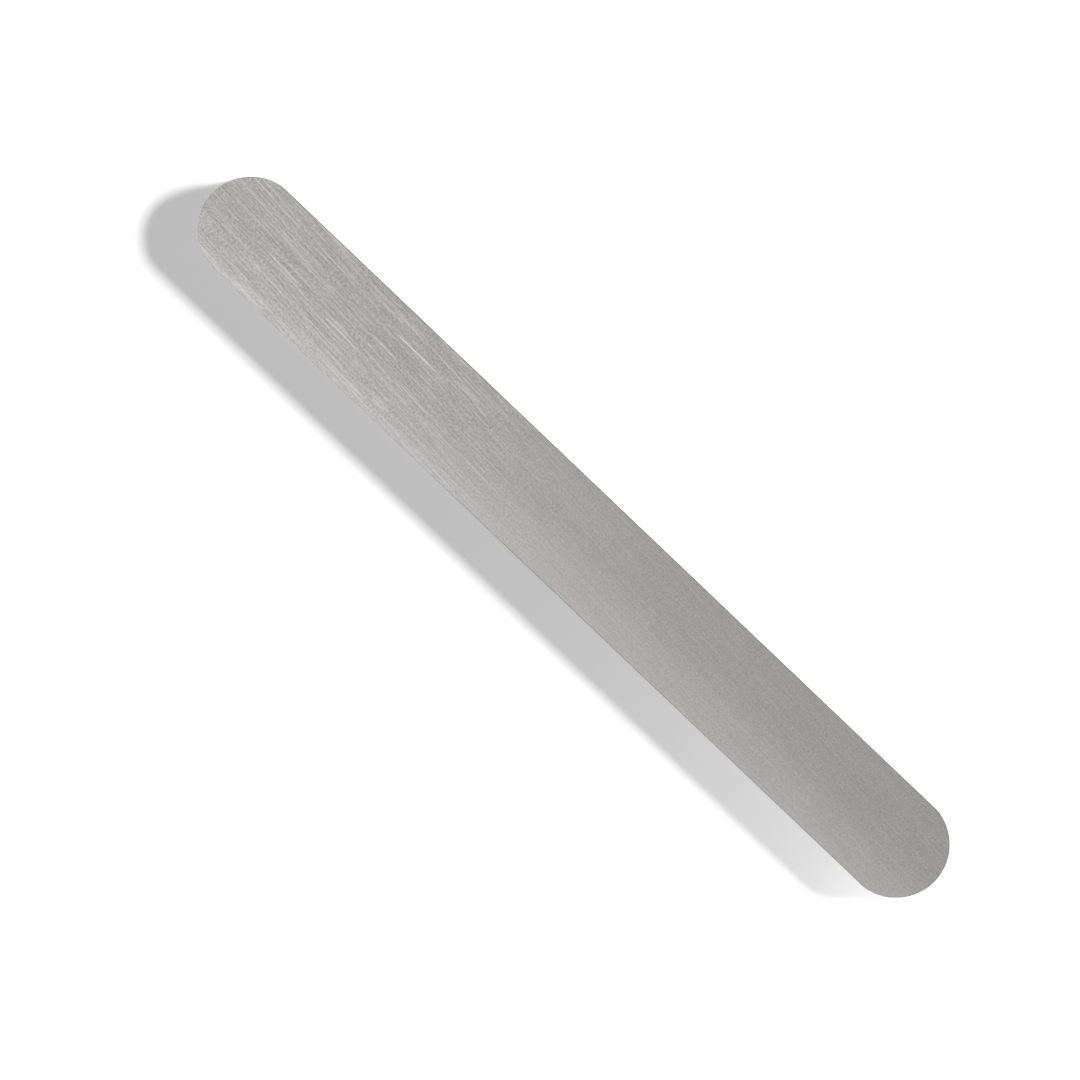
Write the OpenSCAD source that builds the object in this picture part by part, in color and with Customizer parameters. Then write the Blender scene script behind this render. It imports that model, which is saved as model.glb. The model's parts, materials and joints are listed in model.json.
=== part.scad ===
// Flat steel rule with two full-round ends.
// The upper face and the edges are plain. The lower face carries a millimetre scale along one
// edge and an inch scale along the other, etched into the sheet and filled with black enamel.
// Origin: middle of the lower face. +X runs along the length, +Y across it, +Z is the plain face.

/* [Blade] */
// Overall length, end to end
blade_l = 178; // [80:1:320]
// Width across the two straight edges
blade_w = 19; // [18:0.5:40]
// Thickness of the sheet
blade_t = 0.8; // [0.6:0.1:2]
// Rounding of every outer edge
edge_r = 0.15; // [0.05:0.01:0.2]
// How much larger an end's radius is than half the width
end_extra_r = 0.05; // [0.02:0.01:0.3]

/* [Etching] */
// Depth of the etched recesses
etch_depth = 0.05; // [0.03:0.01:0.1]
// How far the enamel stays below the face
fill_gap = 0.01; // [0.005:0.005:0.02]
// Width of an etched line
line_w = 0.16; // [0.1:0.02:0.24]
// Plain rim between an edge and its lines
rim = 0.1; // [0.05:0.05:0.3]

/* [Millimetre scale] */
// Length of a line at each millimetre
mm_line = 2.6; // [1.5:0.1:3]
// Length of a line at each fifth millimetre
half_cm_line = 3.7; // [3:0.1:4]
// Length of a line at each centimetre
cm_line = 4.8; // [4:0.1:5.2]
// Height of the centimetre numerals
cm_digit_h = 1.8; // [1.2:0.1:2]

/* [Inch scale] */
// Length of a line at each sixteenth
sixteenth_line = 2.2; // [1.5:0.1:2.4]
// Length that each coarser fraction adds
fraction_step = 0.7; // [0.4:0.05:0.75]
// Height of the inch numerals
inch_digit_h = 2; // [1.2:0.1:2.2]

/* [Hidden] */
$fn = 96;
over = 0.01;                               // how far a cutter passes the face it cuts
inch = 25.4;
sixteenth = inch / 16;
end_r = blade_w / 2 + end_extra_r;         // radius of an end
end_x = blade_l / 2 - end_r;               // distance of an end's centre from the middle
straight_l = blade_l - blade_w;            // length with both edges straight
inches = floor(straight_l / inch);         // whole inches that fit
centimetres = floor(straight_l / 10);      // whole centimetres that fit
zero_x = -max(inches * inch, centimetres * 10) / 2; // both scales start here
first_y = blade_w / 2 - edge_r - rim;      // where the lines start, measured from the middle
digit_gap = 0.45;                          // between a line's end and the numeral below it
stroke = 0.22;                             // width of a numeral's stroke
digit_space = 0.28;                        // between the two digits of a number

// ---- blade ----

// Cross-section of the strip, with a rounded corner at each of its four edges
module strip_section(width) {
    for (y = [-1, 1] * (width / 2 - edge_r), z = [edge_r, blade_t - edge_r])
        translate([y, z]) circle(edge_r);
    translate([-width / 2, edge_r]) square([width, blade_t - 2 * edge_r]);
    translate([edge_r - width / 2, 0]) square([width - 2 * edge_r, blade_t]);
}

// Half of a disc's section, turned about the vertical to give a disc with rounded rims
module rim_section() {
    for (z = [edge_r, blade_t - edge_r])
        translate([end_r - edge_r, z]) circle(edge_r);
    translate([0, edge_r]) square([end_r, blade_t - 2 * edge_r]);
    square([end_r - edge_r, blade_t]);
}

// Strip with straight edges, longer than the blade
module strip() {
    rotate([90, 0, 90])
        linear_extrude(blade_l + 2 * end_r, center = true) strip_section(blade_w);
}

// Outline that cuts the strip to length: a wide bar between two discs
module end_shape() {
    translate([-end_x, -blade_w, -blade_t])
        cube([2 * end_x, 2 * blade_w, 3 * blade_t]);
    for (x = [-end_x, end_x])
        translate([x, 0, 0]) rotate_extrude() rim_section();
}

module blade() {
    color("silver")
        difference() {
            intersection() {
                strip();
                end_shape();
            }
            etched(-over, etch_depth) {
                millimetre_marks();
                centimetre_digits();
                inch_marks();
                inch_digits();
            }
        }
}

// ---- scales ----

// Raises flat drawings from one height to another above the lower face. The drawings are made
// as they are read from below, so they are mirrored across the length here.
module etched(bottom, top) {
    translate([0, 0, bottom])
        linear_extrude(top - bottom) mirror([0, 1]) children();
}

// One scale line at x, starting near the edge on the given side and running inward
module line(x, length, side) {
    translate([x - line_w / 2, side > 0 ? first_y - length : -first_y])
        square([line_w, length]);
}

function mm_length(i) = i % 10 == 0 ? cm_line : i % 5 == 0 ? half_cm_line : mm_line;

// Sixteenths, eighths, quarters, halves and whole inches, each longer than the one before
function inch_step(i) = i % 16 == 0 ? 4 : i % 8 == 0 ? 3 : i % 4 == 0 ? 2 : i % 2 == 0 ? 1 : 0;
function inch_length(i) = sixteenth_line + inch_step(i) * fraction_step;

module millimetre_marks() {
    for (i = [0:centimetres * 10])
        line(zero_x + i, mm_length(i), 1);
}

module inch_marks() {
    for (i = [0:inches * 16])
        line(zero_x + i * sixteenth, inch_length(i), -1);
}

module centimetre_digits() {
    for (n = [1:centimetres])
        translate([zero_x + n * 10, first_y - cm_line - digit_gap - cm_digit_h])
            number(n, cm_digit_h);
}

module inch_digits() {
    for (n = [1:inches])
        translate([zero_x + n * inch, inch_length(0) + digit_gap - first_y])
            number(n, inch_digit_h);
}

// ---- numerals ----

function digits(n) = n < 10 ? [n] : [floor(n / 10), n % 10];
function digit_w(h) = (h + stroke) / 2;

// A number centred on x = 0, standing on y = 0
module number(n, h) {
    list = digits(n);
    pitch = digit_w(h) + digit_space;
    for (i = [0:len(list) - 1])
        translate([(i - (len(list) - 1) / 2) * pitch - digit_w(h) / 2, 0])
            digit(list[i], h);
}

// Straight stroke with round ends, from p to q
module bar(p, q) {
    d = q - p;
    translate(p) rotate(atan2(d.y, d.x)) translate([0, -stroke / 2]) square([norm(d), stroke]);
    for (end = [p, q])
        translate(end) circle(stroke / 2, $fn = 24);
}

// Part of a round stroke, from angle a to angle b, with round ends
module bow(centre, r, a, b) {
    reach = 2 * r;
    steps = ceil((b - a) / 60);
    wedge = [for (i = [0:steps]) reach * [cos(a + (b - a) * i / steps), sin(a + (b - a) * i / steps)]];
    translate(centre) {
        intersection() {
            ring(r);
            polygon(concat([[0, 0]], wedge));
        }
        for (angle = [a, b])
            translate(r * [cos(angle), sin(angle)]) circle(stroke / 2, $fn = 24);
    }
}

module ring(r) {
    difference() {
        circle(r + stroke / 2, $fn = 48);
        circle(r - stroke / 2, $fn = 48);
    }
}

// One digit of height h, drawn with strokes round two bowls that stand on each other
module digit(d, h) {
    r = (h - stroke) / 4;                  // radius of a bowl
    left = stroke / 2;
    right = left + 2 * r;
    mid = left + r;
    base = stroke / 2;
    top = h - stroke / 2;
    low = [mid, base + r];                 // centres of the two bowls
    high = [mid, top - r];
    waist = h / 2;
    if (d == 0) {
        bow(high, r, 0, 180);
        bow(low, r, 180, 360);
        bar([left, low.y], [left, high.y]);
        bar([right, low.y], [right, high.y]);
    }
    if (d == 1) {
        bar([mid, base], [mid, top]);
        bar([mid, top], [left, top - r]);
    }
    if (d == 2) {
        bow(high, r, -30, 170);
        bar(high + r * [cos(-30), sin(-30)], [left, base]);
        bar([left, base], [right, base]);
    }
    if (d == 3) {
        bow(high, r, -90, 150);
        bow(low, r, -150, 90);
    }
    if (d == 4) {
        bar([mid + r / 2, base], [mid + r / 2, top]);
        bar([mid + r / 2, top], [left, base + r]);
        bar([left, base + r], [right, base + r]);
    }
    if (d == 5) {
        bar([left, top], [right, top]);
        bar([left, top], [left, waist]);
        bar([left, waist], [mid, waist]);
        bow(low, r, -150, 90);
    }
    if (d == 6) {
        translate(low) ring(r);
        bow(high, r, 30, 180);
        bar([left, low.y], [left, high.y]);
    }
    if (d == 7) {
        bar([left, top], [right, top]);
        bar([right, top], [mid - r / 2, base]);
    }
    if (d == 8) {
        translate(low) ring(r);
        translate(high) ring(r);
    }
    if (d == 9) {
        translate(high) ring(r);
        bow(low, r, -150, 0);
        bar([right, low.y], [right, high.y]);
    }
}

// ---- enamel in the etched recesses ----

module enamel() {
    color("black") etched(fill_gap, etch_depth) children();
}

module millimetre_lines() {
    enamel() millimetre_marks();
}

module centimetre_numerals() {
    enamel() centimetre_digits();
}

module inch_lines() {
    enamel() inch_marks();
}

module inch_numerals() {
    enamel() inch_digits();
}

blade();
millimetre_lines();
centimetre_numerals();
inch_lines();
inch_numerals();
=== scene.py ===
import json
import math

import bmesh
import bpy
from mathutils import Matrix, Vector


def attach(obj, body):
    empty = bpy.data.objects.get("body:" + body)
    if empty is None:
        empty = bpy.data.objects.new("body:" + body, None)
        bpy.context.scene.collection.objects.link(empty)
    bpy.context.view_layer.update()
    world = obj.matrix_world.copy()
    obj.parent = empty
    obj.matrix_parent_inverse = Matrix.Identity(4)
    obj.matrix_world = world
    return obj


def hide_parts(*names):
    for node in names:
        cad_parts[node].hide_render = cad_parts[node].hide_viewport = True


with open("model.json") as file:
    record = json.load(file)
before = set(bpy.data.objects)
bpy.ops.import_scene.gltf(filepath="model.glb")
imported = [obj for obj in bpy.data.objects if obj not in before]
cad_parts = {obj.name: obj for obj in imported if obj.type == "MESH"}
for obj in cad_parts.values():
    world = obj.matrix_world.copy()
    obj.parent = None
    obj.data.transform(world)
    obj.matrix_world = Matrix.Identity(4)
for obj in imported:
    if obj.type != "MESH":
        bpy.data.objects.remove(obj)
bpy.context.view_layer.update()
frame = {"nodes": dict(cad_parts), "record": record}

mm = 0.001


def deselectAll():
    if bpy.context.mode != "OBJECT":
        bpy.ops.object.mode_set(mode="OBJECT")
    bpy.ops.object.select_all(action="DESELECT")


def makeActive(piece):
    deselectAll()
    piece.select_set(True)
    bpy.context.view_layer.objects.active = piece


def startEdit(piece):
    makeActive(piece)
    bpy.ops.object.mode_set(mode="EDIT")
    bpy.ops.mesh.select_all(action="SELECT")


def endEdit():
    bpy.ops.object.mode_set(mode="OBJECT")


def pick(piece, kind, test):
    # kind is verts, edges or faces; what the test says yes to is selected
    bpy.ops.mesh.select_mode(type={"verts": "VERT", "edges": "EDGE", "faces": "FACE"}[kind])
    bpy.ops.mesh.select_all(action="DESELECT")
    shape = bmesh.from_edit_mesh(piece.data)
    for item in getattr(shape, kind):
        if test(item):
            item.select_set(True)
    shape.select_flush_mode()
    bmesh.update_edit_mesh(piece.data)


def settle(piece):
    # object at the origin, unturned and unscaled, place in the mesh
    makeActive(piece)
    bpy.ops.object.transform_apply(location=True, rotation=True, scale=True)


def addModifier(piece, name, kind, **settings):
    makeActive(piece)
    modifier = piece.modifiers.new(name, kind)
    for key, value in settings.items():
        setattr(modifier, key, value)
    bpy.ops.object.modifier_apply(modifier=name)


class Wire:
    # a socket that can stand in an expression
    def __init__(self, look, socket):
        self.look = look
        self.socket = socket

    def __add__(self, other):
        return self.look.math("ADD", self, other)

    def __radd__(self, other):
        return self.look.math("ADD", other, self)

    def __sub__(self, other):
        return self.look.math("SUBTRACT", self, other)

    def __rsub__(self, other):
        return self.look.math("SUBTRACT", other, self)

    def __mul__(self, other):
        return self.look.math("MULTIPLY", self, other)

    def __rmul__(self, other):
        return self.look.math("MULTIPLY", other, self)

    def __truediv__(self, other):
        return self.look.math("DIVIDE", self, other)

    def __abs__(self):
        return self.look.math("ABSOLUTE", self)


class Look:
    # the nodes of a material or of the world
    def __init__(self, owner):
        self.owner = owner
        owner.use_nodes = True
        self.tree = owner.node_tree
        self.tree.nodes.clear()

    def node(self, kind, settings=None, output=0, **inputs):
        # settings come first because they can change which sockets there are;
        # i0, i1 and so on are sockets by their place, other names are the sockets' own
        made = self.tree.nodes.new(kind)
        for key, value in (settings or {}).items():
            setattr(made, key, value)
        for name, value in inputs.items():
            byPlace = name[0] == "i" and name[1:].isdigit()
            self.plug(made.inputs[int(name[1:]) if byPlace else name], value)
        return Wire(self, made.outputs[output]) if made.outputs else None

    def plug(self, socket, value):
        if isinstance(value, Wire):
            self.tree.links.new(value.socket, socket)
        else:
            socket.default_value = value

    def math(self, operation, *values):
        return self.node("ShaderNodeMath", {"operation": operation},
                         **{f"i{i}": v for i, v in enumerate(values)})

    def axes(self, vector, count):
        return [self.node("ShaderNodeSeparateXYZ", output=axis, i0=vector) for axis in range(count)]

    def smooth(self, value, low, high):
        # 0 below low, 1 above high, smooth between; low may be the larger
        return self.node("ShaderNodeMapRange", {"interpolation_type": "SMOOTHSTEP"},
                         i0=value, i1=low, i2=high, i3=0.0, i4=1.0)

    def mixColour(self, amount, first, second):
        return self.node("ShaderNodeMix", {"data_type": "RGBA"},
                         output=2, i0=amount, i6=first, i7=second)


print("helpers ready")


bladeSize = Vector(frame["record"]["size"]["bbox_m"])
enamelNodes = [node for name, node in frame["nodes"].items() if name != "blade"]

blade = {
    "endExtra": 0.05 * mm,             # an end's radius over half the width
    "endFacets": 360,                  # facets of the full circle that an end is cut from
    "edgeRound": 0.17 * mm,            # tumbled edges, all round, both faces
    "edgeSteps": 5,
    "etchDepth": 0.05 * mm,
    "cutterDrop": 0.1 * mm,            # takes the cutter's underside clear of the lower face
    "mergeWithin": 0.0005 * mm,        # points closer than this become one
    "findWithin": 0.002 * mm,          # how near a point is to a place to count as there
    "smoothUnder": math.radians(35),   # edges that turn more than this stay sharp
}


def makeBlade():
    halfWidth = bladeSize.y / 2
    endRadius = halfWidth + blade["endExtra"]
    endX = bladeSize.x / 2 - endRadius
    cornerX = endX + math.sqrt(endRadius ** 2 - halfWidth ** 2)   # arc meets straight edge

    # one round end, cut off where its arc is as wide as the blade, and mirrored
    deselectAll()
    bpy.ops.mesh.primitive_circle_add(vertices=blade["endFacets"], radius=endRadius,
                                      fill_type="NGON", location=(endX, 0, 0))
    piece = bpy.context.object
    piece.name = "bladePlate"
    piece.data.name = "bladePlate"
    settle(piece)
    startEdit(piece)
    bpy.ops.mesh.bisect(plane_co=(cornerX, 0, 0), plane_no=(1, 0, 0), clear_inner=True,
                        threshold=blade["mergeWithin"])
    endEdit()
    addModifier(piece, "otherEnd", "MIRROR", use_axis=(True, False, False), use_mirror_merge=False)

    # the flat between the two cuts, then the thickness
    def onCut(edge):
        return all(abs(abs(v.co.x) - cornerX) < blade["findWithin"] for v in edge.verts)

    startEdit(piece)
    pick(piece, "edges", onCut)
    bpy.ops.mesh.edge_face_add()
    bpy.ops.mesh.select_all(action="SELECT")
    bpy.ops.mesh.remove_doubles(threshold=blade["mergeWithin"])
    bpy.ops.mesh.normals_make_consistent(inside=False)
    bpy.ops.mesh.extrude_region_move(TRANSFORM_OT_translate={"value": (0, 0, bladeSize.z)})
    bpy.ops.mesh.select_all(action="SELECT")
    bpy.ops.mesh.normals_make_consistent(inside=False)

    # round both rims: the edges between a flat face and the band round the outside
    def onRim(edge):
        flats = [abs(f.normal.z) > 0.5 for f in edge.link_faces]
        return len(flats) == 2 and flats[0] != flats[1]

    pick(piece, "edges", onRim)
    bpy.ops.mesh.bevel(offset=blade["edgeRound"], segments=blade["edgeSteps"], profile=0.5,
                       affect="EDGES", clamp_overlap=True)
    endEdit()
    return piece


def cutEtching(piece):
    # the recesses take the shape of the enamel that fills them
    deselectAll()
    for node in enamelNodes:
        cutter = node.copy()
        cutter.data = cutter.data.copy()
        bpy.context.collection.objects.link(cutter)
        cutter.select_set(True)
        bpy.context.view_layer.objects.active = cutter
    bpy.ops.object.join()
    cutter = bpy.context.object
    startEdit(cutter)
    bpy.ops.mesh.remove_doubles(threshold=blade["mergeWithin"])
    pick(cutter, "verts", lambda v: v.co.z < blade["etchDepth"] / 2)
    bpy.ops.transform.translate(value=(0, 0, -blade["cutterDrop"]))
    endEdit()
    addModifier(piece, "etching", "BOOLEAN", operation="DIFFERENCE", solver="EXACT", object=cutter)
    bpy.data.objects.remove(cutter)


bladePlate = makeBlade()
cutEtching(bladePlate)
makeActive(bladePlate)
bpy.ops.object.shade_smooth_by_angle(angle=blade["smoothUnder"])
addModifier(bladePlate, "evenNormals", "WEIGHTED_NORMAL", mode="FACE_AREA", keep_sharp=True)
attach(bladePlate, "root")
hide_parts("blade")
print("blade modelled:", len(bladePlate.data.polygons), "faces")


steel = {
    "low": (0.26, 0.2565, 0.249, 1),          # deepest tone of the brushing
    "high": (0.94, 0.9275, 0.903, 1),         # lightest
    "bright": (0.98, 0.975, 0.965, 1),        # fresh scratches, and painted glints where strokes catch the light
    "middleTone": 0.5,                        # between low and high, before any mark
    "grainTurn": math.radians(3.7),           # the brushing isn't quite along the blade
    "seeds": {"fibre": 31, "speck": 83, "cloud": 57, "long": 11, "short": 47, "bright": 71},
    "longStrokes": (12.0, 0.19, 0.48),        # length and width of a stroke in mm, strength
    "shortStrokes": (5.0, 0.14, 0.54),
    "brightStrokes": (9.0, 0.24, 0.85),
    "brightChance": (0.94, 0.98),             # strokes drawn above the first show, fully above the second
    "strokeEnds": (0.5, 0.25),                # fades out and is full this far from its middle, in lengths
    "strokeSides": (0.5, 0.05),               # and in widths
    "dullness": 3,                            # the higher, the fewer strokes are light
    "shift": 9,                               # how far neighbouring rows of strokes are out of step
    "slant": 0.7,                             # how fast the rows change from face to face
    "coarseFrom": 2.0,                        # x where the brushing turns coarse, mm
    "coarseTo": -46.0,                        # and where it is fully so
    "fineShare": 0.32,                        # strength of the brushing at the other end
    "fibrePerMm": (0.05, 1.6, 1.6),           # broad soft streaks: along, across, through
    "fibre": 0.12,
    "speckPerMm": (2.4, 4.8, 4.8),            # broken, nearly round marks
    "coarseSpeck": 1.15,
    "fineSpeck": 0.60,
    "cloudPerMm": (0.035, 0.16, 0.16),        # slow changes of tone
    "cloudDetail": 2.0,
    "cloud": 0.12,
    "paintedLightZone": (1.5, -6.5),                # y from where to where painted light makes the blade lighter, mm
    "paintedLight": 0.134,
    "paintedLightLoss": 0.3,                        # share of that which is missing where coarse
    "paintedEdgeHighlightZone": (-6.3, -9.2),            # painted highlight, lightest close to that edge
    "paintedEdgeHighlight": (0.05, 0.10),                # where fine, and how much more where coarse
    "rimZone": (0.20, 0.05),                  # the dark rim, partly the duller sheared edge and partly painted shade: from how far in to how far in, mm
    "rim": (0.34, 0.334, 0.325, 1),
    "rimStrength": 0.85,
    "rimPaintedLight": 0.95,                          # how much of that painted shade is lifted on the lighter edge, as painted light
    "rimPaintedLightZone": (3.0, -7.0),               # y from where to where it is lifted, mm
    "roughness": 0.34,
    "lineRoughness": 0.15,                    # how much strokes, clouds and scratches change it
    "cloudRoughness": 0.06,
    "scratchGloss": 0.08,
    "grooveDepth": 0.006 * mm,                # height of a full stroke
    "speckDepth": 0.5,                        # depth of other marks, in full strokes
    "scratchDepth": 0.5,
    "rimFlatness": 0.7,                       # how much shallower all marks are on the rim
}

scratch = {
    "edge": (0.19, 0.02),                     # fades out and is full this far from its line, mm
    "waver": 0.25,                            # how far the fibres bend it, mm
    "taper": 0.5,                             # share of each half that thins out
    "layer": (0.5, 0.7),                      # only near the upper face: z in thicknesses
    # middle x, y and length in mm, angle from the length in degrees, strength
    "marks": [
        (-43.6, 4.5, 10.4, -0.8, 1.0),
        (-72.4, 2.9, 16.0, -3.3, 0.45),
        (-56.0, -1.3, 3.4, -3.3, 0.55),
        (-41.5, -6.9, 4.0, -3.0, 0.6),
        (-73.5, -8.8, 5.0, -2.4, 0.6),
        (-31.0, 5.8, 5.0, -3.2, 0.5),
        (-27.5, 4.9, 3.6, -4.4, 0.5),
        (-36.5, 1.2, 4.2, -5.0, 0.4),
    ],
}


def brushedSteel():
    look = Look(bpy.data.materials.new("brushedSteel"))
    seeds = steel["seeds"]
    place = look.node("ShaderNodeTexCoord", output=3)
    spot = look.node("ShaderNodeVectorMath", {"operation": "SCALE"}, i0=place, i3=1 / mm)   # in mm
    x, y, z = look.axes(spot, 3)
    turned = look.node("ShaderNodeMapping", i0=spot, i2=(0, 0, steel["grainTurn"]))
    alongGrain, acrossGrain = look.axes(turned, 2)

    def noise(perMm, seed, detail=1.0):
        # about zero, up to a half either way
        stretched = look.node("ShaderNodeMapping", i0=turned, i1=(seed, seed, 0), i3=perMm)
        return look.node("ShaderNodeTexNoise", Vector=stretched, Scale=1.0, Detail=detail) - 0.5

    fibre = noise(steel["fibrePerMm"], seeds["fibre"])
    speck = noise(steel["speckPerMm"], seeds["speck"])
    cloud = noise(steel["cloudPerMm"], seeds["cloud"], steel["cloudDetail"])

    def strokes(length, width, seed):
        # straight marks side by side, each with a tone from 0 to 1 and soft ends and sides
        across = (acrossGrain + z * steel["slant"]) / width + fibre
        row = look.math("FLOOR", across) + seed
        start = look.node("ShaderNodeTexWhiteNoise", {"noise_dimensions": "1D"}, W=row) * steel["shift"]
        along = alongGrain / length + start
        cell = look.node("ShaderNodeCombineXYZ", i0=look.math("FLOOR", along), i1=row)
        tone = look.node("ShaderNodeTexWhiteNoise", {"noise_dimensions": "2D"}, Vector=cell)
        ends = look.smooth(abs(look.math("FRACT", along) - 0.5), *steel["strokeEnds"])
        sides = look.smooth(abs(look.math("FRACT", across) - 0.5), *steel["strokeSides"])
        return tone, ends * sides

    def brushing(kind, seed):
        length, width, strength = kind
        tone, shape = strokes(length, width, seed)
        average = 1 / (steel["dullness"] + 1)
        return (look.math("POWER", tone, steel["dullness"]) - average) * shape * strength

    lines = brushing(steel["longStrokes"], seeds["long"]) + fibre * steel["fibre"]
    lines = lines + brushing(steel["shortStrokes"], seeds["short"])

    # painted glints: a few strokes are drawn bright as highlights, where the brushing is coarse
    length, width, strength = steel["brightStrokes"]
    chance, shape = strokes(length, width, seeds["bright"])
    paintedGlints = look.smooth(chance, *steel["brightChance"]) * shape * strength

    coarse = look.smooth(x, steel["coarseFrom"], steel["coarseTo"])
    tone = lines * (coarse * (1 - steel["fineShare"]) + steel["fineShare"])
    tone = tone + speck * (coarse * (steel["coarseSpeck"] - steel["fineSpeck"]) + steel["fineSpeck"])
    tone = tone + cloud * steel["cloud"]
    # painted light: the blade is drawn lighter towards its -y edge, where the light falls
    paintedLight = look.smooth(y, *steel["paintedLightZone"]) * (1 - coarse * steel["paintedLightLoss"])
    tone = tone + paintedLight * steel["paintedLight"]
    # painted highlight along the -y edge, stronger where the brushing is coarse
    always, extra = steel["paintedEdgeHighlight"]
    tone = tone + look.smooth(y, *steel["paintedEdgeHighlightZone"]) * (coarse * extra + always)

    scratched = 0.0
    for middleX, middleY, length, angle, strength in scratch["marks"]:
        local = look.node("ShaderNodeMapping", {"vector_type": "TEXTURE"}, i0=spot,
                          i1=(middleX, middleY, 0), i2=(0, 0, math.radians(angle)))
        along, across = look.axes(local, 2)
        half = length / 2
        mask = look.smooth(abs(across + fibre * scratch["waver"]), *scratch["edge"])
        mask = mask * look.smooth(abs(along), half, half * (1 - scratch["taper"]))
        scratched = look.math("MAXIMUM", mask * strength, scratched)
    thickness = bladeSize.z / mm
    bottom, top = scratch["layer"]
    scratched = scratched * look.smooth(z, thickness * bottom, thickness * top)

    # distance in from the outline, straight edges and round ends alike
    endRadius = (bladeSize.y / 2 + blade["endExtra"]) / mm
    pastEnd = look.math("MAXIMUM", abs(x) - (bladeSize.x / 2 / mm - endRadius), 0)
    fromEnd = endRadius - look.math("SQRT", pastEnd * pastEnd + y * y)
    inward = look.math("MINIMUM", fromEnd, bladeSize.y / 2 / mm - abs(y))
    # painted light lifts the dark rim along the lighter edge; elsewhere the rim is partly painted shade
    wearAndPaintedLight = look.smooth(y, *steel["rimPaintedLightZone"]) * coarse * steel["rimPaintedLight"]
    rim = look.smooth(inward, *steel["rimZone"]) * (1 - wearAndPaintedLight)

    level = look.node("ShaderNodeClamp", i0=tone + steel["middleTone"])
    colour = look.mixColour(level, steel["low"], steel["high"])
    colour = look.mixColour(paintedGlints * coarse, colour, steel["bright"])
    colour = look.mixColour(scratched, colour, steel["bright"])
    colour = look.mixColour(rim * steel["rimStrength"], colour, steel["rim"])

    rough = steel["roughness"] + lines * steel["lineRoughness"] + cloud * steel["cloudRoughness"]
    height = lines + speck * steel["speckDepth"] - scratched * steel["scratchDepth"]
    bump = look.node("ShaderNodeBump", Strength=1.0, Distance=steel["grooveDepth"],
                     Height=height * (1 - rim * steel["rimFlatness"]))
    shader = look.node("ShaderNodeBsdfPrincipled", **{
        "Base Color": colour,
        "Metallic": 1.0,
        "Roughness": rough - scratched * steel["scratchGloss"],
        "Normal": bump,
    })
    look.node("ShaderNodeOutputMaterial", Surface=shader)
    return look.owner


bladePlate.data.materials.clear()
bladePlate.data.materials.append(brushedSteel())
print("steel finished")


enamel = {
    "colour": (0.02, 0.02, 0.022, 1),
    "wearAndPaintedLight": (0.075, 0.073, 0.07, 1),
    "pits": {"Scale": 9000.0, "Detail": 3.0, "Roughness": 0.6},   # scales are per metre
    "wear": {"Scale": 420.0, "Detail": 4.0, "Roughness": 0.6},
    "wornZone": (0.62, 0.92),          # level of wear that starts to grey, and fully does
    "pitsInWear": 0.4,                 # how much pits add to that level
    "roughness": 0.42,
    "pitRoughness": 0.3,               # how much pits change it
    "pitDepth": 0.004 * mm,
}


def blackEnamel():
    look = Look(bpy.data.materials.new("blackEnamel"))
    place = look.node("ShaderNodeTexCoord", output=3)
    pits = look.node("ShaderNodeTexNoise", Vector=place, **enamel["pits"])
    wear = look.node("ShaderNodeTexNoise", Vector=place, **enamel["wear"])
    wearAndPaintedLight = look.smooth(wear + pits * enamel["pitsInWear"], *enamel["wornZone"])
    bump = look.node("ShaderNodeBump", Strength=1.0, Distance=enamel["pitDepth"], Height=pits)
    shader = look.node("ShaderNodeBsdfPrincipled", **{
        "Base Color": look.mixColour(wearAndPaintedLight, enamel["colour"], enamel["wearAndPaintedLight"]),
        "Roughness": enamel["roughness"] + (pits - 0.5) * enamel["pitRoughness"],
        "Normal": bump,
    })
    look.node("ShaderNodeOutputMaterial", Surface=shader)
    return look.owner


enamelLook = blackEnamel()
for node in enamelNodes:
    node.data.materials.clear()
    node.data.materials.append(enamelLook)
print("enamel finished")


studio = {
    "floorSize": 12.0,
    "floorColour": (0.9, 0.9, 0.9, 1),
    "floorRoughness": 0.9,
    "roomColour": (1, 1, 1, 1),
    "background": 1.2,                         # what the camera sees past the floor
    "reflected": 0.646,                        # what the steel reflects
    "brightSide": (-0.45, -0.9, 0.0),          # the side of the room that is brighter
    "contrast": 1.3,                           # how fast it changes from side to side
    "darkest": 0.3,
    "brightest": 1.0,
    "ambient": 0.064,                          # what reaches the floor from all round
    "shadowReach": (-7.4 * mm, -9.1 * mm),     # how far the blade's shadow falls past it
    "rakingDistance": 10.0,
    "rakingSize": (3.9, 0.43),                 # wide and low, so the shadow is soft all round
    "rakingPower": 15200.0,
    "floorLight": 1.55,                        # straight down on the floor, from far away
    "floorLightAngle": math.radians(10),
}

# lights on the floor only, straight down: they fade the shadow at the high end and lighten
# the notch between blade and shadow at the zero end
# power, place in mm, length and width in mm, turn
smallLights = {
    "fadeLight": (0.0079, (75, -10, 60), (20, 20), 0.0),
    "endLight": (0.00075, (88, -12, 14), (4, 4), 0.0),
    "notchLight": (8e-6, (-90.1, 2.4, 1.1), (5, 0.2), math.radians(43.63)),
}

# a soft box over the zero end, on the steel and enamel only
softbox = (0.0086, (-103, 0, 220), (200, 80), 0.0)


def makeFloor():
    deselectAll()
    bpy.ops.mesh.primitive_plane_add(size=studio["floorSize"], location=(0, 0, 0))
    floor = bpy.context.object
    floor.name = "floor"
    look = Look(bpy.data.materials.new("palePaper"))
    shader = look.node("ShaderNodeBsdfPrincipled", **{
        "Base Color": studio["floorColour"],
        "Roughness": studio["floorRoughness"],
        "Specular IOR Level": 0.0,
    })
    look.node("ShaderNodeOutputMaterial", Surface=shader)
    floor.data.materials.append(look.owner)
    return floor


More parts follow.
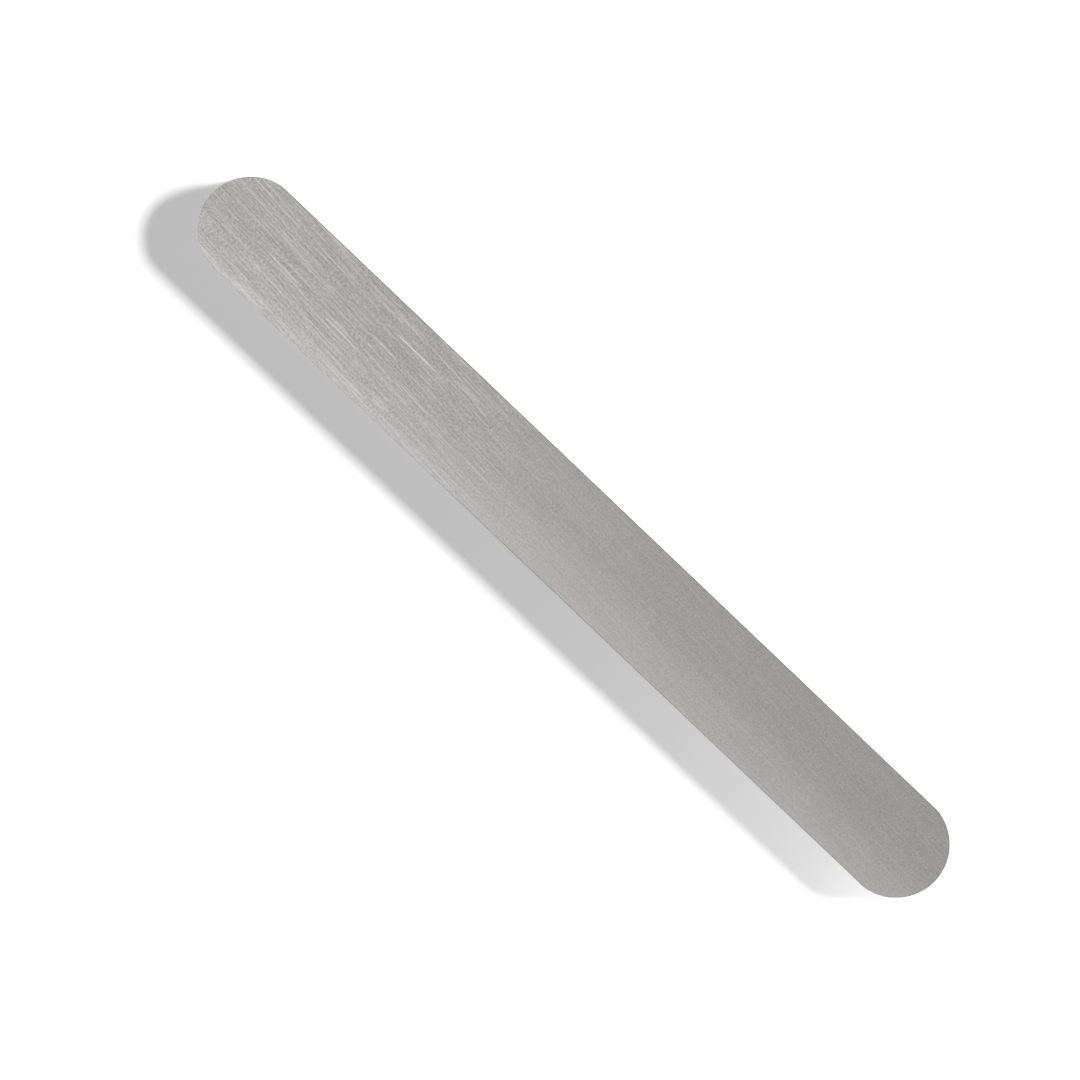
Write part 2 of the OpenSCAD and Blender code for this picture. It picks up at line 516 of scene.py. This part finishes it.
def makeWorld():
    world = bpy.data.worlds.new("studio")
    bpy.context.scene.world = world
    look = Look(world)
    # the room is brighter on one side, which shows in the rounded edges
    direction = look.node("ShaderNodeTexCoord", output=0)
    side = look.node("ShaderNodeVectorMath", {"operation": "DOT_PRODUCT"}, output=1,
                     i0=direction, i1=studio["brightSide"])
    room = look.node("ShaderNodeClamp", i0=1 + side * studio["contrast"],
                     i1=studio["darkest"], i2=studio["brightest"])
    # what the steel throws back onto the floor is left out
    direct = 1 - look.math("MINIMUM", look.node("ShaderNodeLightPath", output="Diffuse Depth"), 1.0)
    glossy = look.node("ShaderNodeLightPath", output="Is Glossy Ray") * direct
    level = look.node("ShaderNodeLightPath", output="Is Camera Ray") * studio["background"]
    level = level + glossy * room * studio["reflected"]
    level = level + look.node("ShaderNodeLightPath", output="Is Diffuse Ray") * studio["ambient"]
    glow = look.node("ShaderNodeBackground", Color=studio["roomColour"], Strength=level)
    look.node("ShaderNodeOutputWorld", Surface=glow)


def addLamp(name, kind, energy, place, target, receivers, **settings):
    # lights the receivers and nothing else
    data = bpy.data.lights.new(name, kind)
    data.energy = energy
    for key, value in settings.items():
        setattr(data, key, value)
    lamp = bpy.data.objects.new(name, data)
    bpy.context.collection.objects.link(lamp)
    lamp.location = place
    lamp.visible_camera = False
    lamp.rotation_euler = (Vector(target) - Vector(place)).to_track_quat("-Z", "Y").to_euler()
    group = bpy.data.collections.new(name + "Receivers")
    for piece in receivers:
        group.objects.link(piece)
    lamp.light_linking.receiver_collection = group
    return lamp


def addPanel(name, panel, receivers):
    # a rectangular light that shines straight down
    power, place, size, turn = panel
    place = Vector(place) * mm
    long, wide = size
    lamp = addLamp(name, "AREA", power, place, (place.x, place.y, 0), receivers,
                   shape="RECTANGLE", size=long * mm, size_y=wide * mm)
    lamp.rotation_euler.z += turn


floor = makeFloor()
makeWorld()

reach = Vector((*studio["shadowReach"], -bladeSize.z))
rakingPlace = -reach.normalized() * studio["rakingDistance"]
wide, high = studio["rakingSize"]
addLamp("rakingLight", "AREA", studio["rakingPower"], rakingPlace, (0, 0, 0), [floor],
        shape="ELLIPSE", size=wide, size_y=high)
addLamp("floorLight", "SUN", studio["floorLight"], (0, 0, 1), (0, 0, 0), [floor],
        angle=studio["floorLightAngle"])
for name, panel in smallLights.items():
    addPanel(name, panel, [floor])
addPanel("lowEndSoftbox", softbox, [bladePlate] + enamelNodes)


view = {
    "turn": math.radians(43.6),
    "lens": 120.0,
    "sensor": 36.0,
    "widthInLengths": 1.082,
    "aside": 0.0338,          # blade's middle right of the view's middle, in lengths
    "above": 0.0027,          # and above it
    "nearest": 0.01,          # what is closer or further than these isn't seen
    "furthest": 50.0,
}


def makeCamera():
    data = bpy.data.cameras.new("camera")
    data.lens = view["lens"]
    data.sensor_width = view["sensor"]
    data.clip_start = view["nearest"]
    data.clip_end = view["furthest"]
    camera = bpy.data.objects.new("camera", data)
    bpy.context.collection.objects.link(camera)
    turn = view["turn"]
    right = Vector((math.cos(turn), math.sin(turn), 0))
    up = Vector((-math.sin(turn), math.cos(turn), 0))
    middle = -(right * view["aside"] + up * view["above"]) * bladeSize.x
    distance = bladeSize.x * view["widthInLengths"] * view["lens"] / view["sensor"]
    camera.location = middle + Vector((0, 0, bladeSize.z + distance))
    camera.rotation_euler = (0, 0, turn)
    bpy.context.scene.camera = camera


makeCamera()
bpy.context.scene.view_settings.view_transform = "Standard"
print("studio ready")
